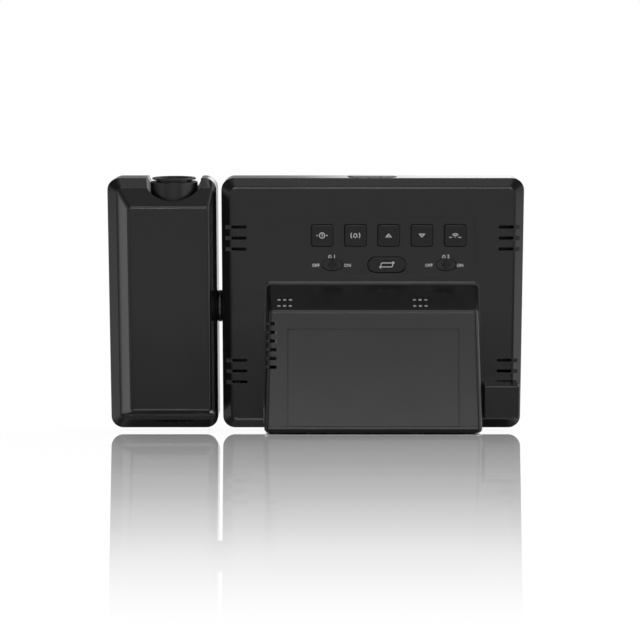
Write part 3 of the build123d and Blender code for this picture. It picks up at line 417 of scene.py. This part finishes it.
# %% [markdown]
# ## Metal
#
# Screws and contacts are small, so their metal is simple: fully metallic, with fine marks
# that run one way. Stretching the noise's coordinates makes marks out of blobs. The
# plating is a little uneven, so the colour drifts between two greys.

# %% Screws and contacts
mark_density = (400, 5000, 5000)


def plated(name, level, roughness, warmth):
    finish = new_finish(name)
    stretched = finish.add("ShaderNodeVectorMath", {"operation": "MULTIPLY"},
                           {0: finish.place(), 1: mark_density})
    marks = finish.add("ShaderNodeTexNoise", None, {"Vector": stretched, "Scale": 1.0})
    drift = finish.noise(3 * mm)
    return finish.shade(
        Base_Color=finish.tones(drift, level, low=0.8, high=1.15, warmth=warmth),
        Metallic=1.0, Roughness=marks * 0.25 + roughness,
        Normal=finish.bump(marks, 0.004 * mm))


zinc = plated("zinc_plate", level=0.52, roughness=0.22, warmth=0.01)
nickel = plated("nickel_plate", level=0.62, roughness=0.14, warmth=0.03)
paint(zinc, "board_screws", "stand_screws", "retaining_clip")
paint(nickel, "battery_contacts", "socket_pin")

# %% [markdown]
# ## Boards
#
# A circuit board has copper tracks under its solder mask. A brick pattern gives straight
# runs that end and start again, as tracks do. Here the mask is nearly black, so that
# nothing green shows through the vents.

# %% Solder mask
between_tracks, over_tracks = (0.004, 0.011, 0.007, 1), (0.009, 0.026, 0.016, 1)

mask_finish = new_finish("solder_mask")
tracks = mask_finish.add("ShaderNodeTexBrick", {"offset": 0.37}, {
    "Vector": mask_finish.place(), "Color1": grey(0.25), "Color2": grey(0.75),
    "Mortar": grey(0.0), "Scale": 1 / (12 * mm), "Mortar Size": 0.03,
    "Brick Width": 0.9, "Row Height": 0.12}, output=1)
paint(mask_finish.shade(Base_Color=mask_finish.mix(tracks, between_tracks, over_tracks),
                        Roughness=tracks * 0.1 + 0.25,
                        Normal=mask_finish.bump(tracks, 0.03 * mm)),
      "main_board", "led_board")

# %% [markdown]
# ## Cells
#
# The cells show when the battery door is off. They wear a plain two-tone sleeve: a dark
# middle and metallic ends. All three lie across the bay, one above the other, so the
# distance from its middle line says which tone a point gets. The same mask makes the ends
# metallic.

# %% Cells
sleeve_dark, sleeve_copper = (0.02, 0.028, 0.045, 1), (0.55, 0.33, 0.12, 1)
sleeve_half = 15 * mm
sleeve_step = 0.4 * mm

cell_finish = new_finish("cell_sleeve")
along_cell = cell_finish.split(cell_finish.place())[0]
from_middle = abs(along_cell - middle("batteries", across_front))
ends = from_middle.rise(sleeve_half, sleeve_half + sleeve_step)
printing = cell_finish.noise(0.4 * mm)
paint(cell_finish.shade(Base_Color=cell_finish.mix(ends, sleeve_dark, sleeve_copper),
                        Roughness=printing * 0.1 + 0.28, Metallic=ends * 0.7), "batteries")

# %% [markdown]
# ## The projector's lamp
#
# The lamp is a small dome on a square base, moulded in one from yellowish resin. Half of
# the light passes through, and a slow noise makes it slightly hazy.

# %% Lamp
resin_deep, resin_pale = (0.80, 0.78, 0.62, 1), (0.88, 0.86, 0.74, 1)

resin_finish = new_finish("lamp_resin")
haze = resin_finish.noise(1.5 * mm)
paint(resin_finish.shade(Base_Color=resin_finish.mix(haze, resin_deep, resin_pale),
                         Roughness=haze * 0.1 + 0.1, Transmission_Weight=0.5),
      "projector_led")

# %% [markdown]
# ## Glass
#
# The projection lenses are clear glass with a faint tint, and both panels are dark,
# glossy glass. The window over the display is smoked: it lets a little light through, so
# that the digits glow out of a surface that otherwise looks like a black mirror.
# Fingerprints are no more than a slow change in roughness.

# %% Lenses, panels and smoked window
def clear(name, colour, tint, roughness, transmission, ior=1.5):
    finish = new_finish(name)
    smear = finish.noise(14 * mm, detail=4)
    return finish.shade(Base_Color=finish.mix(smear, colour, tint),
                        Roughness=smear * 0.05 + roughness,
                        Transmission_Weight=transmission, IOR=ior)


lens_glass = clear("lens_glass", (0.86, 0.90, 0.94, 1), (0.90, 0.88, 0.96, 1),
                   roughness=0.0, transmission=0.9)
panel_glass = clear("panel_glass", grey(0.020), grey(0.026), roughness=0.08,
                    transmission=0.0)
smoked = clear("smoked_window", grey(0.12), grey(0.14), roughness=0.015,
               transmission=0.97, ior=1.49)
paint(lens_glass, "condenser_lens", "projection_lens")
paint(panel_glass, "display_panel", "image_panel")
paint(smoked, "display_window")

# %% [markdown]
# ## White print
#
# The print on the back is white ink. We draw each mark flat, in millimetres to the right
# and up. Then the drawing becomes a mesh, is pressed flat, because print has next to no
# height, and is turned onto the leaning face. A mark rides on the body that it is printed
# on, so it moves with it.

# %% Ink and the way to lay it
ink_finish = new_finish("white_ink")
coverage = ink_finish.noise(0.15 * mm, detail=3)
white_ink = ink_finish.shade(
    Base_Color=ink_finish.mix(coverage, grey(0.72), grey(0.92)),
    Roughness=coverage * 0.1 + 0.45, Normal=ink_finish.bump(coverage, 0.005 * mm))
ink_lift = 0.02 * mm


def add_piece(name, mesh, material):
    mesh.materials.clear()
    mesh.materials.append(material)
    piece = bpy.data.objects.new(name, mesh)
    bpy.context.scene.collection.objects.link(piece)
    return piece


def lay_print(name, curve, body, centre, thickness=1.0):
    """Turn a flat drawing in millimetres into a thin mesh on the clock."""
    drawing = bpy.data.objects.new(name + "_drawing", curve)
    bpy.context.scene.collection.objects.link(drawing)
    bpy.context.view_layer.update()
    mesh = bpy.data.meshes.new_from_object(drawing)
    bpy.data.objects.remove(drawing)
    turn = Matrix((across_back, up_back, across_back.cross(up_back))).transposed().to_4x4()
    scale = Matrix.Diagonal((mm, mm, thickness * mm, 1))
    mesh.transform(Matrix.Translation(centre) @ turn @ scale)
    piece = add_piece(name, mesh, white_ink)
    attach(piece, body)


def beside(node, right, up, face):
    """A point so many millimetres beside a node's middle, just above a face's depth."""
    return (across_back * (middle(node, across_back) + right * mm)
            + up_back * (middle(node, up_back) + up * mm)
            + out_back * (face + ink_lift))


print("ink lies", ink_lift / mm, "mm above its face")

# %% [markdown]
# ## Strokes and words
#
# Signs are strokes, and labels are words. A stroke is a curve with a round section, so
# its ends and corners come out as a pen would draw them, and pressing it flat leaves a
# thin line. Words use the built-in font, made a touch bolder with the curve's offset,
# because thin strokes vanish at this size.

# %% Strokes and words
ink_flatness = 0.10
letter_weight = 0.02


def strokes(name, body, centre, lines, width=0.38):
    """A mark of strokes: each is a list of points, closed if it ends where it starts."""
    curve = bpy.data.curves.new(name, "CURVE")
    curve.dimensions = "3D"
    curve.bevel_depth = width / 2
    curve.bevel_resolution = 1
    curve.use_fill_caps = True
    for line in lines:
        closed = line[0] == line[-1] and len(line) > 2
        line = line[:-1] if closed else line
        spline = curve.splines.new("POLY")
        spline.points.add(len(line) - 1)
        for point, (right, up) in zip(spline.points, line):
            point.co = (right, up, 0, 1)
        spline.use_cyclic_u = closed
    lay_print(name, curve, body, centre, ink_flatness)


def words(name, text, body, centre, size):
    curve = bpy.data.curves.new(name, "FONT")
    curve.body = text
    curve.size = size
    curve.extrude = letter_weight
    curve.offset = letter_weight
    curve.align_x = "CENTER"
    curve.align_y = "CENTER"
    lay_print(name, curve, body, centre)


print("strokes are pressed to", ink_flatness, "of their height")

# %% [markdown]
# ## Round strokes and arrowheads
#
# Straight strokes are lists of points that we can write down. Two forms come back often
# enough for a function: an arc in a few straight steps, and an arrowhead of two
# triangles, one in the other, so that it fills up. Few steps are enough, because a sign
# is only three millimetres high.

# %% Arcs and arrowheads
arc_step = 30


def arc(middle_up, radius, start, end):
    """Points along an arc, in degrees from the right, counter-clockwise."""
    steps = max(2, round(abs(end - start) / arc_step))
    angles = [math.radians(start + (end - start) * step / steps)
              for step in range(steps + 1)]
    points = [(round(radius * math.cos(angle), 4),
               round(middle_up + radius * math.sin(angle), 4)) for angle in angles]
    return points[:-1] + points[:1] if abs(end - start) == 360 else points


def arrowhead(size, way):
    """A filled arrowhead that points up (1) or down (-1)."""
    outlines = []
    for inset in (0.0, 0.35 * size):
        foot = -way * (0.55 * size - 0.45 * inset)
        tip = way * (0.6 * size - 0.75 * inset)
        outlines.append([(inset - size, foot), (0, tip), (size - inset, foot),
                         (inset - size, foot)])
    return outlines


print("points in a full circle:", len(arc(0, 1, 0, 360)))

# %% [markdown]
# ## Signs on the buttons
#
# Each rear button carries one small sign that says what it sets without a word: a clock
# face, a ringing bell, two arrowheads, a rising sun, and two arrows that turn the image
# over. Real clocks often print words here. Signs need no language, and they read well at
# this size.

# %% Signs
arrow_size = 1.5
bell = [(-1.1, -0.75), (-0.75, -0.35), (-0.75, 0.25), (-0.35, 0.85), (0.35, 0.85),
        (0.75, 0.25), (0.75, -0.35), (1.1, -0.75), (-1.1, -0.75)]
marks = {
    "time_button": [arc(0, 1.35, 0, 360), [(0, 0.75), (0, 0), (0.55, -0.3)],
                    [(-2.9, 0), (-2.1, 0)], [(2.1, 0), (2.9, 0)]],
    "alarm_button": [bell, [(-0.2, -1.15), (0.2, -1.15)], arc(0, 2.3, 145, 215),
                     arc(0, 2.3, -35, 35)],
    "up_button": arrowhead(arrow_size, 1),
    "down_button": arrowhead(arrow_size, -1),
    "mode_button": [[(-0.2, -0.9), (0.2, -0.9)], arc(-1.0, 1.1, 40, 140),
                    arc(-1.0, 2.0, 40, 140), [(-3.0, -0.9), (-1.6, -0.9)],
                    [(1.6, -0.9), (3.0, -0.9)]],
    "flip_button": [[(-2.9, -0.2), (-2.9, 0.5), (-2.3, 1.0), (3.6, 1.0)],
                    [(2.9, 0.2), (2.9, -0.5), (2.3, -1.0), (-3.6, -1.0)],
                    [(2.7, 1.7), (3.7, 1.0), (2.7, 0.3)],
                    [(-2.7, -1.7), (-3.7, -1.0), (-2.7, -0.3)]],
}
for button, lines in marks.items():
    face = reach(button, out_back)[1]
    strokes(button + "_mark", button, beside(button, 0, 0, face), lines)
print("signs on buttons:", len(marks))

# %% [markdown]
# ## Labels round the switches
#
# Each slide switch turns one alarm on or off, so it has OFF and ON at its sides, and its
# number beside a small bell above it. They are printed on the sunk panel, which lies a
# little below the buttons' faces, and not on the slider, so they ride on the housing.

# %% Numbers and positions
panel_sink = 0.6
number_rise = 4.1
number_shift = 1.1
number_size = 2.5
word_drop = -0.35
word_size = 2.1
bell_scale = 0.8
bell_line = 0.3
word_shifts = {"alarm_one_slider": (-8.1, 7.6), "alarm_two_slider": (-8.5, 7.0)}

panel_face = reach("time_button", out_back)[1] - panel_sink * mm
small_bell = [[(right * bell_scale, up * bell_scale) for right, up in bell]]
for number, (slider, (off_shift, on_shift)) in enumerate(word_shifts.items(), 1):
    words(slider + "_number", str(number), "housing",
          beside(slider, number_shift, number_rise, panel_face), number_size)
    strokes(slider + "_bell", "housing",
            beside(slider, -number_shift, number_rise, panel_face), small_bell, bell_line)
    words(slider + "_off", "OFF", "housing",
          beside(slider, off_shift, word_drop, panel_face), word_size)
    words(slider + "_on", "ON", "housing",
          beside(slider, on_shift, word_drop, panel_face), word_size)
print("switches with labels:", len(word_shifts))

# %% [markdown]
# ## Digits on the front
#
# The display faces away from the buttons. Its digits are seven-segment bars between the
# panel and the smoked window. Each bar is a flat six-sided piece, and a small light of
# its own makes it show through the smoke. A segment is its side, its height and whether
# it stands upright, and a digit is a list of segments.

# %% Seven-segment bars
glow_finish = new_finish("digit_glow")
evenness = glow_finish.noise(1.2 * mm)
digit_glow = glow_finish.shade(
    Base_Color=grey(0.3), Roughness=0.5,
    Emission_Color=glow_finish.mix(evenness, (0.75, 0.88, 1.0, 1), (0.90, 0.97, 1.0, 1)),
    Emission_Strength=6.0)
segments = {"top": (0, 1, 0), "high_left": (-1, 0.5, 1), "high_right": (1, 0.5, 1),
            "centre": (0, 0, 0), "low_left": (-1, -0.5, 1), "low_right": (1, -0.5, 1),
            "bottom": (0, -1, 0)}
shapes = {"0": "top high_left high_right low_left low_right bottom",
          "1": "high_right low_right",
          "2": "top high_right centre low_left bottom",
          "3": "top high_right centre low_right bottom",
          "6": "top high_left centre low_left low_right bottom",
          ":": ""}


def bar(right, up, upright, half, thick):
    """The corners of one six-sided bar."""
    corners = [(-half, 0), (-half + thick, thick), (half - thick, thick), (half, 0),
               (half - thick, -thick), (-half + thick, -thick)]
    return [(right - y, up + x) if upright else (right + x, up + y) for x, y in corners]


bar_corners = len(bar(0, 0, False, 1, 0))
print("bars in an 8:", len(segments), "with", bar_corners, "corners each")

# %% [markdown]
# ## Rows of digits
#
# A pen moves along the row by one pitch for each digit, and by half of one for the colon,
# whose two dots are short bars. All sizes are shares of the digits' height, so the small
# alarm time has the same look as the large time above it. Both are plain numbers.

# %% Time and alarm time
thickness_share = 0.045
width_share = 0.24
pitch_share = 0.70
bar_length = 0.94
dot_length, dot_thickness = 1.2, 0.8
window_rear = reach("display_window", out_back)[1]
panel_front = reach("display_panel", out_back)[0]


def outlines_of(text, height):
    """The bars of a row of digits, in millimetres from its middle."""
    half, thick = height / 4, height * thickness_share
    width, pitch = height * width_share, height * pitch_share
    outlines, pen = [], -pitch * (len(text) - 1.5) / 2
    for sign in text:
        for part in shapes[sign].split():
            side, level, upright = segments[part]
            outlines.append(bar(pen + side * width, level * height / 2, upright,
                                (half if upright else width) * bar_length, thick))
        if sign == ":":
            pen -= pitch / 4
            outlines += [bar(pen, level, False, dot_length * thick, dot_thickness * thick)
                         for level in (-height / 5, height / 5)]
            pen -= pitch / 4
        pen += pitch
    return outlines


def digits(name, text, right, up, height):
    """A row of seven-segment digits, laid between the panel and the window."""
    centre = (across_front * (middle("display_window", across_front) + right * mm)
              + up_back * (middle("display_window", up_back) + up * mm)
              + out_back * (window_rear + panel_front) / 2)
    points = [centre + across_front * x * mm + up_back * y * mm
              for outline in outlines_of(text, height) for x, y in outline]
    mesh = bpy.data.meshes.new(name)
    mesh.from_pydata(points, [], [range(first, first + bar_corners)
                                  for first in range(0, len(points), bar_corners)])
    piece = add_piece(name, mesh, digit_glow)
    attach(piece, "housing")


digits("time_digits", "12:30", right=0, up=10, height=38)
digits("alarm_digits", "6:30", right=30, up=-32, height=14)
print("gap for the digits:", round((panel_front - window_rear) / mm, 2), "mm")

# %% [markdown]
# ## The room that the clock mirrors
#
# Gloss black shows the room more than its own colour, so the room is what we design. A
# wide softbox hangs above the camera, a narrow bright strip runs low under it, and past
# them the ceiling is dark. That is what gives the rounded edges their thin pale lines
# while the sloping tops stay dark. The sides are lit unevenly: brighter on one side, as
# by a window. We write the room as brightness along three paths: one up and over from the
# camera's side to the far side, one round the horizon, and a short one from side to side,
# low behind the clock. Each is a list of stops, a place from 0 to 1 and the brightness
# there.

# %% Brightness of the room
over_the_top = [(0.0, 0.65), (0.029, 0.55), (0.039, 6.0), (0.064, 6.0), (0.074, 0.24),
                (0.18, 0.28), (0.21, 2.6), (0.30, 2.6), (0.33, 0.5), (0.46, 0.35),
                (0.56, 0.28), (0.73, 0.15), (0.80, 0.5), (0.93, 0.6), (0.94, 1.0),
                (1.0, 1.0)]
round_the_sides = [(0.0, 0.15), (0.065, 0.2), (0.10, 1.3), (0.18, 1.6), (0.22, 1.5),
                   (0.30, 1.2), (0.365, 2.3), (0.377, 0.08), (0.636, 0.08), (0.644, 1.7),
                   (0.662, 1.7), (0.675, 0.4), (0.79, 0.4), (0.83, 0.8), (0.90, 0.6),
                   (1.0, 0.3)]
behind_low = [(0.0, 0.2), (0.33, 0.28), (0.45, 0.36), (0.57, 1.4), (0.70, 1.8),
              (0.82, 2.0), (0.94, 2.1), (1.0, 2.1)]
print("stops:", len(over_the_top), len(round_the_sides), len(behind_low))

# %% [markdown]
# ## From brightness to light
#
# The world shader knows only a direction. Two angles come from it with ARCTAN2. The first
# is 0 at the horizon behind the camera and 1 at the far horizon, and the second goes once
# round from 0 to 1. They read two of the ramps. The third is read by how far a direction
# points aside. Soft steps blend the ramps where the way ahead turns into the sides, and
# where the low wall behind the clock begins and ends. The camera itself sees plain white:
# Light Path tells its rays from those that light the clock.

# %% World
behind_reach = 0.112
wall_top, wall_foot = (0.74, 0.78), (0.925, 0.94)
side_start = (0.20, 0.34)
side_top = (0.45, 0.8)
side_dimming = 0.6


def ramp(tree, stops, along):
    return tree.add("ShaderNodeValToRGB", {"stops": stops}, {"Fac": along})


def ray_kinds(tree):
    """1 for a ray straight from the camera, and 1 for one by way of gloss or glass."""
    node = tree.nodes.new("ShaderNodeLightPath")
    seen, gloss, glass = (Wire(tree, node.outputs[name]) for name in (
        "Is Camera Ray", "Is Glossy Ray", "Is Transmission Ray"))
    return seen, (gloss + glass).at_most(1.0)


world = bpy.data.worlds.new("studio")
bpy.context.scene.world = world
room = Tree(world)
east, north, zenith = room.split(room.add("ShaderNodeTexCoord", output=0))
height_angle = zenith.maths("ARCTAN2", zenith, north) * (1 / math.pi)
side_angle = zenith.maths("ARCTAN2", east, north) * (0.5 / math.pi) + 0.5
over = ramp(room, over_the_top, height_angle)
sides = ramp(room, round_the_sides, side_angle)
behind = ramp(room, behind_low, east * (-0.5 / behind_reach) + 0.5)
low_wall = height_angle.rise(*wall_top) * (1 - height_angle.rise(*wall_foot))
sideways = abs(east).rise(*side_start)
ahead = over * (1 - low_wall) + behind * low_wall
aside = sides * (1 - zenith.rise(*side_top) * side_dimming)
level = ahead * (1 - sideways) + aside * sideways
seen, _ = ray_kinds(room)
background = room.add("ShaderNodeBackground", None, {
    "Color": (1, 1, 1, 1), "Strength": seen + (1 - seen) * level})
room.add("ShaderNodeOutputWorld", None, {"Surface": background})
print("nodes that light the room:", len(room.nodes))

# %% [markdown]
# ## Floor
#
# The clock stands on a wide, polished white floor. It is one flat face, far larger than
# the view, so its edges never show. It is part of the stage, not of the clock.

# %% Floor
floor_half = 6.0

floor_mesh = bpy.data.meshes.new("floor")
floor_mesh.from_pydata([(-floor_half, -floor_half, 0), (floor_half, -floor_half, 0),
                        (floor_half, floor_half, 0), (-floor_half, floor_half, 0)],
                       [], [(0, 1, 2, 3)])
polish = new_finish("floor_polish")
floor = add_piece("floor", floor_mesh, polish.owner)
print("floor:", 2 * floor_half, "m wide")

# %% [markdown]
# ## Polish
#
# Close to the clock the floor is nearly a mirror, and further towards the camera the mirror
# image fades into white. The share of the mirror is a ramp along the floor, so it stays
# where it is when the camera moves. The white part glows a little for the camera and less
# for what the clock mirrors. Under the stand a patch set by position switches off both the
# mirror and the glow. That patch is a painted shadow: only the plain white stays there, in
# the stand's real shade, and it leaves the dark line on which the clock seems to rest.

# %% Polish
fade_length = 0.62
mirror_fading = [(0.0, 0.80), (0.33, 0.67), (0.52, 0.54), (0.66, 0.37), (0.76, 0.20),
                 (0.84, 0.10), (0.90, 0.035), (1.0, 0.0)]
floor_glow = 0.67
mirrored_glow = 0.30
floor_colour = 0.55
shade_edge = 1.5 * mm
shade_inset = 3 * mm

over_floor, along_floor, _ = polish.split(polish.place())
stand_middle = middle("base_plate", across_front)
stand_half = reach("base_plate", across_front)[1] - stand_middle
stand_front, stand_back = reach("base_plate", to_camera)
# Painted shadow: a patch under the stand's base, set by position, where the floor loses its
# mirror and its glow. Only the diffuse white there stays in real shade.
within_width = 1 - abs(over_floor - stand_middle).rise(stand_half - shade_inset, stand_half)
past_front = along_floor.rise(stand_front, stand_front + shade_edge)
past_back = along_floor.rise(stand_back + 2 * shade_edge, stand_back + 4 * shade_edge)
outside_painted_shadow = 1 - within_width * past_front * (1 - past_back)
mirror_share = ramp(polish, mirror_fading, along_floor * (1 / fade_length)) * outside_painted_shadow
seen, by_gloss = ray_kinds(polish)
white = polish.add("ShaderNodeBsdfDiffuse", None, {"Color": grey(floor_colour)})
glow = polish.add("ShaderNodeEmission", None, {
    "Color": (1, 1, 1, 1),
    "Strength": (seen * floor_glow + by_gloss * mirrored_glow) * outside_painted_shadow})
lit = polish.add("ShaderNodeAddShader", None, {0: white, 1: glow})
mirror = polish.add("ShaderNodeBsdfAnisotropic", None, {
    "Color": (1, 1, 1, 1), "Roughness": 0.0})
polish.show(polish.add("ShaderNodeMixShader", None, {0: mirror_share, 1: lit, 2: mirror}))
print("dark under the stand:", round(2 * stand_half / mm), "mm wide")

# %% [markdown]
